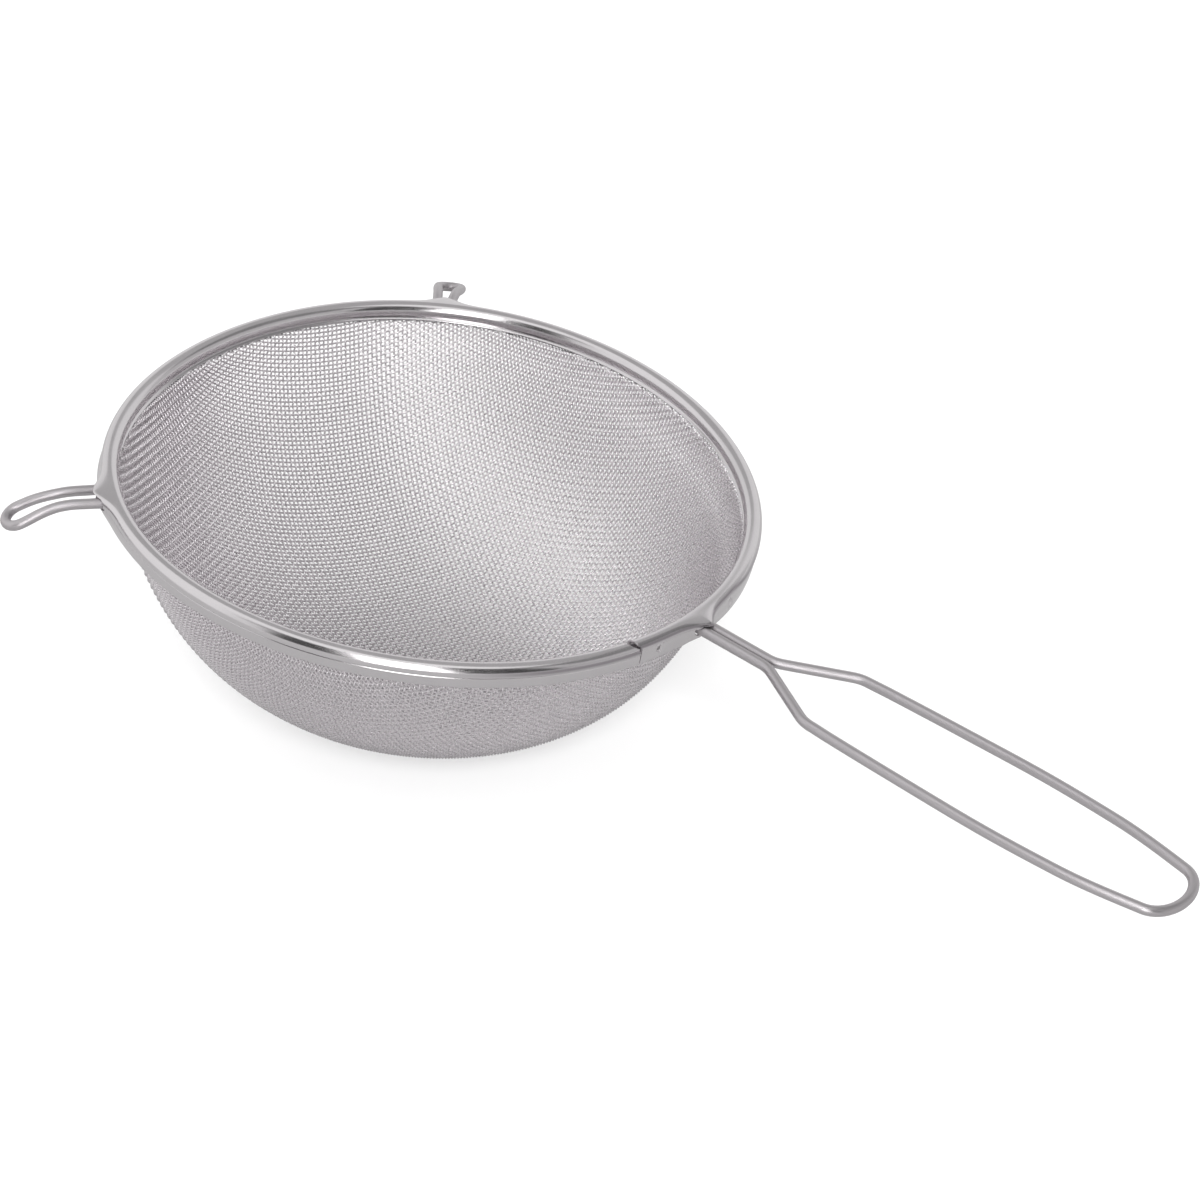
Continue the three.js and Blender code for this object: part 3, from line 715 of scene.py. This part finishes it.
# Push of one weld: a soft ring out and a flat pit in, on the skirt alone
def weldPush(degrees, theta, turn, height):
    beside = np.radians(wrapped(theta - degrees)) * rim["middle"]
    off = np.hypot(beside, height - welds["height"])
    ring = welds["ring"] * np.exp(-((off - welds["ringAt"]) / welds["ringWide"]) ** 2)
    pit = welds["pit"] * np.exp(-(off / welds["pitSize"]) ** welds["pitPower"])
    return (ring - pit) * (turn < rim["grooveTurn"])


# Painted shade along the crease and the bead's lower face on the handle's side, standing in for the shade
# there
def paintedCreaseShade(theta, turn):
    shadeBand = rim["paintedShade"]
    around = wrapped(theta)
    along = eased((around - shadeBand["from"]) / (shadeBand["full"] - shadeBand["from"]))
    along = along * (1 - eased((around - shadeBand["fade"]) / (shadeBand["gone"] - shadeBand["fade"])))
    return along * np.exp(-((turn - shadeBand["turn"]) / shadeBand["wide"]) ** 2) * (turn >= rim["grooveTurn"])


# The section carried round the rim from one end of the strip to the other, with the windows left out
def rimBand():
    section, along = rimSection()
    columns = rimColumns()
    theta = np.repeat(columns[:, None], len(section), 1)
    turn = np.repeat(along[None], len(columns), 0)
    reach = np.repeat(section[None, :, 0], len(columns), 0)
    height = np.repeat(section[None, :, 1], len(columns), 0)
    reach, height = pressFlat(theta, turn, reach, height)
    theta = leanSeam(theta, turn)
    removed = np.zeros(theta.shape, bool)
    push = np.zeros(theta.shape)
    for outlet in outlets:
        inside, push = hoodOver(outlet, theta, turn, height, push)
        removed |= inside
    for degrees in welds["angles"].values():
        push = push + weldPush(degrees, theta, turn, height)
    radius = rim["middle"] + reach + push
    angle = np.radians(theta)
    points = np.stack([radius * np.cos(angle), radius * np.sin(angle), height], -1)
    across = len(section)
    k = (np.arange(len(columns) - 1)[:, None] * across + np.arange(across - 1)).ravel()
    quads = np.stack([k, k + across, k + across + 1, k + 1], -1)
    quads = quads[~removed.ravel()[quads].any(1)]
    used = np.unique(quads)
    number = np.full(removed.size, -1)
    number[used] = np.arange(len(used))
    band = putMesh("rim_strip", standing(points.reshape(-1, 3)[used]), number[quads])
    # the painted crease shade goes on the strip's points as an attribute
    crease = band.data.attributes.new(paintedShadeMark, "FLOAT", "POINT")
    crease.data.foreach_set("value", paintedCreaseShade(theta, turn).ravel()[used].astype(np.float32))
    wall = band.modifiers.new("sheet", "SOLIDIFY")
    wall.thickness = rim["sheet"] / perMetre
    wall.offset = -1
    edge = band.modifiers.new("edge", "BEVEL")
    edge.width = rim["bevel"] / perMetre
    edge.segments = 1
    edge.limit_method = "ANGLE"
    edge.angle_limit = np.radians(rim["bevelAngle"])
    print("rim", len(columns), "columns", len(quads), "faces")
    return band


finishPiece(rimBand(), sheetSteel, "rim", "rim_band")


# Weld nugget: a flat lens turned about the skirt's outward line, from its crown through its edge to its root
def weldNugget(place, degrees):
    a = np.radians(degrees)
    out = np.array([np.cos(a), np.sin(a), 0])
    beside = np.array([-np.sin(a), np.cos(a), 0])
    up = np.array([0, 0, 1.0])
    spokes = welds["spokes"]
    slope = np.radians(np.linspace(90, -90, welds["rings"]))[1:-1]
    high = np.where(slope > 0, welds["crown"], welds["root"]) * np.sin(slope)
    wide = welds["nugget"] * np.cos(slope)
    turn = np.arange(spokes) * 2 * np.pi / spokes
    (footReach, footHeight), (topReach, topHeight) = rim["foot"], rim["shoulder"]
    skirtReach = np.interp(welds["height"], (footHeight, topHeight), (footReach, topReach))
    middle = out * (rim["middle"] + skirtReach - welds["pit"]) + up * welds["height"]
    spoke = np.cos(turn)[:, None] * beside + np.sin(turn)[:, None] * up
    points = middle + high[:, None, None] * out + wide[:, None, None] * spoke
    poles = [middle + welds["crown"] * out, middle - welds["root"] * out]
    points = np.concatenate([points.reshape(-1, 3), poles])
    k = np.arange(spokes)
    after = (k + 1) % spokes
    first = (np.arange(len(slope) - 1) * spokes)[:, None]
    second = first + spokes
    quads = np.stack([first + k, second + k, second + after, first + after], -1).reshape(-1, 4)
    last = (len(slope) - 1) * spokes
    top = np.stack([0 * k + len(points) - 2, k, after], -1)
    base = np.stack([0 * k + len(points) - 1, last + after, last + k], -1)
    return putMesh("weld_spot_" + place, standing(points), quads, np.concatenate([top, base]))


for place, degrees in welds["angles"].items():
    finishPiece(weldNugget(place, degrees), weldSteel, "rim", "weld_" + place)
print("rim rolled and welded")

# Wires: a round bar carried along its middle line (mm, degrees)
wire = {"radius": 1.58, "height": -0.5, "bend": 2.3, "sides": 22, "rim": 97.25, "rimOuter": 100,
        "footPoints": 24, "bendPoints": 14, "dome": 0.35, "domeTurns": (88, 60, 30)}
# points are counted for the neck, the grip and the rounded end
handle = {"slope": -0.017, "length": 166.3, "neck": 27.1, "splay": 31.1, "neckHalf": 1.66, "widest": 33.1,
          "shares": (0.92, 0.975, 1.01, 0.955, 0.715), "round": 6.9, "foot": 12.6, "endSlope": 1.3,
          "kinks": ((126.4, 1.66), (148.3, 14.7)), "kinkRound": 3.0, "roundFrom": 0.137,
          "points": (20, 170, 30)}
hookFoot = 9
hookPoints = {"legs": 60, "end": 18}
hooks = {"left": {"angle": -126.9, "straight": 8, "bend": 32.2, "dip": 27.5, "halves": (3.5, 3.35, 4.45),
                  "length": 32.8, "skew": 0},
         "back": {"angle": 128.3, "straight": 5.5, "bend": 23.4, "dip": 24.4, "halves": (2.2, 3, 3.8),
                  "length": 31.6, "skew": -5.1}}


# Half of a wire in the rim: along the bead's circle, then a quarter turn out through the window
def footLine(foot, half):
    turnY = half + wire["bend"]
    start = np.arcsin(turnY / wire["rim"])
    a = np.linspace(np.radians(foot), start, wire["footPoints"])[:-1]
    along = np.stack([wire["rim"] * np.cos(a), wire["rim"] * np.sin(a), 0 * a + wire["height"]], -1)
    t = np.linspace(0, np.pi / 2, wire["bendPoints"])
    corner = np.sqrt(wire["rim"] ** 2 - turnY ** 2)
    outX = corner + wire["bend"] * (1 - np.cos(t))
    outY = turnY - wire["bend"] * np.sin(t)
    return np.concatenate([along, np.stack([outX, outY, 0 * t + wire["height"]], -1)])


def mirrored(half):
    return np.concatenate([half, (half[:-1] * [1, -1, 1])[::-1]])


# Half width along a wire loop: a cubic through the stations, level at its start, with its last slope a share
# of the last rise
def smoothHalf(x, places, widths, endSlope):
    x = np.maximum(x, places[0])
    rise = np.diff(widths) / np.diff(places)
    slope = np.zeros(len(places))
    both = rise[:-1] * rise[1:] > 0
    slope[1:-1][both] = 2 * rise[:-1][both] * rise[1:][both] / (rise[:-1] + rise[1:])[both]
    slope[-1] = rise[-1] * endSlope
    i = np.clip(np.searchsorted(places, x) - 1, 0, len(rise) - 1)
    h = places[i + 1] - places[i]
    t = (x - places[i]) / h
    first = (1 + 2 * t) * (1 - t) ** 2 * widths[i] + t * (1 - t) ** 2 * h * slope[i]
    return first + t * t * (3 - 2 * t) * widths[i + 1] + t * t * (t - 1) * h * slope[i + 1]


# A line that is level up to a place and rises one in one after it, with its corner rounded
def ramp(x, place):
    half = handle["kinkRound"]
    t = np.clip((x - place + half) / (2 * half), 0, 1)
    return 2 * half * (t ** 3 - t ** 4 / 2) + np.maximum(x - place - half, 0)


# The legs part in a straight run between two kinks, then follow the grip's stations
def gripHalf(x, roundStart):
    (startX, startY), (endX, endY) = handle["kinks"]
    stationStart = wire["rimOuter"] + handle["neck"] + handle["splay"]
    places = np.concatenate([[endX], np.linspace(stationStart, roundStart, len(handle["shares"]))])
    widths = np.concatenate([[endY], np.array(handle["shares"]) * handle["widest"] / 2])
    rise = (endY - startY) / (endX - startX)
    grip = smoothHalf(x, places, widths, handle["endSlope"])
    return grip - (endY - startY) + rise * (ramp(x, startX) - ramp(x, endX))


# Foot, neck, grip and a part of an ellipse for the end, which starts at the grip's own slope
def handleLine():
    neckCount, gripCount, endCount = handle["points"]
    foot = footLine(handle["foot"], handle["neckHalf"])
    neckEnd = handle["kinks"][0][0] - handle["kinkRound"]
    roundStart = wire["rimOuter"] + handle["length"] - handle["round"]
    neck = np.linspace(foot[-1, 0], neckEnd, neckCount)[1:]
    grip = np.linspace(neckEnd, roundStart, gripCount)[1:]
    first = handle["roundFrom"]
    t = np.linspace(first, np.pi / 2, endCount)[1:]
    ahead = (np.sin(t) - np.sin(first)) / (1 - np.sin(first))
    endHalf = handle["shares"][-1] * handle["widest"] / 2
    endY = endHalf * np.cos(t) / np.cos(first)
    x = np.concatenate([neck, grip, roundStart + handle["round"] * ahead])
    y = np.concatenate([0 * neck + handle["neckHalf"], gripHalf(grip, roundStart), endY])
    z = wire["height"] + handle["slope"] * np.maximum(x - foot[-1, 0], 0)
    return mirrored(np.concatenate([foot, np.stack([x, y, z], -1)]))


# Hook: straight out, a round bend down, straight again, with a half round end
def hookLine(hook):
    rimHalf, _, endHalf = hook["halves"]
    foot = footLine(hookFoot, rimHalf)
    dip = np.radians(hook["dip"])
    roundStart = wire["rimOuter"] + hook["length"] - wire["radius"] - endHalf
    legs = np.linspace(foot[-1, 0], roundStart, hookPoints["legs"])[1:]
    t = np.linspace(0, np.pi / 2, hookPoints["end"])[1:]
    length = np.concatenate([legs, roundStart + endHalf * np.sin(t)])
    halves = np.array(hook["halves"])
    places = np.linspace(wire["rimOuter"], roundStart, len(halves))
    y = np.concatenate([smoothHalf(legs, places, halves, 0), endHalf * np.cos(t)])
    bendStart = wire["rimOuter"] + hook["straight"]
    bent = np.clip((length - bendStart) / hook["bend"], 0, dip)
    rest = np.maximum(length - bendStart - hook["bend"] * dip, 0)
    x = np.minimum(length, bendStart) + hook["bend"] * np.sin(bent) + rest * np.cos(dip)
    z = wire["height"] - hook["bend"] * (1 - np.cos(bent)) - rest * np.sin(dip)
    line = mirrored(np.concatenate([foot, np.stack([x, y, z], -1)]))
    line[:, 1] += np.maximum(line[:, 0] - bendStart, 0) * np.tan(np.radians(hook["skew"]))
    return line @ turnAbout("Z", hook["angle"]).T


# Round bar along a line: rings square to the line, closed by a small dome at each end
def bar(name, line):
    radius, sides = wire["radius"], wire["sides"]
    ahead = unit(np.gradient(line, axis=0))
    side = unit(np.cross(ahead, [0, 0, 1.0]))
    lid = np.cross(side, ahead)
    domes = np.radians(wire["domeTurns"])
    before = line[0] - ahead[0] * radius * wire["dome"] * np.sin(domes)[:, None]
    after = line[-1] + ahead[-1] * radius * wire["dome"] * np.sin(domes)[::-1, None]
    middle = np.concatenate([before, line, after])
    size = np.concatenate([np.cos(domes), np.ones(len(line)), np.cos(domes)[::-1]]) * radius
    ends = ((len(domes), len(domes)), (0, 0))
    side, lid = np.pad(side, ends, mode="edge"), np.pad(lid, ends, mode="edge")
    turn = np.arange(sides) * 2 * np.pi / sides
    ring = side[:, None] * np.cos(turn)[:, None] + lid[:, None] * np.sin(turn)[:, None]
    points = middle[:, None] + ring * size[:, None, None]
    count = len(middle)
    k = np.arange(sides)
    first = (np.arange(count - 1) * sides)[:, None]
    quads = ringQuads(first, first + sides, sides)
    tips = np.stack([np.zeros(sides - 2, int), k[2:], k[1:-1]], -1)
    tris = np.concatenate([tips, (count - 1) * sides + tips[:, ::-1]])
    run = lengthAlong(middle)
    left, right = run[:-1, None] + 0 * k, run[1:, None] + 0 * k
    low, high = k / sides + 0 * left, (k + 1) / sides + 0 * left
    uv = np.concatenate([tubeMap(left, right, low, high), np.zeros((tris.size, 2))])
    return putMesh(name, standing(points.reshape(-1, 3)), quads, tris, uv, lengthMap)


finishPiece(bar("handle", handleLine()), drawnSteel, "wire", "handle_wire")
for place, hook in hooks.items():
    finishPiece(bar("hook_" + place, hookLine(hook)), drawnSteel, "wire", "hook_wire_" + place)
print("wires bent")

bpy.context.view_layer.update()
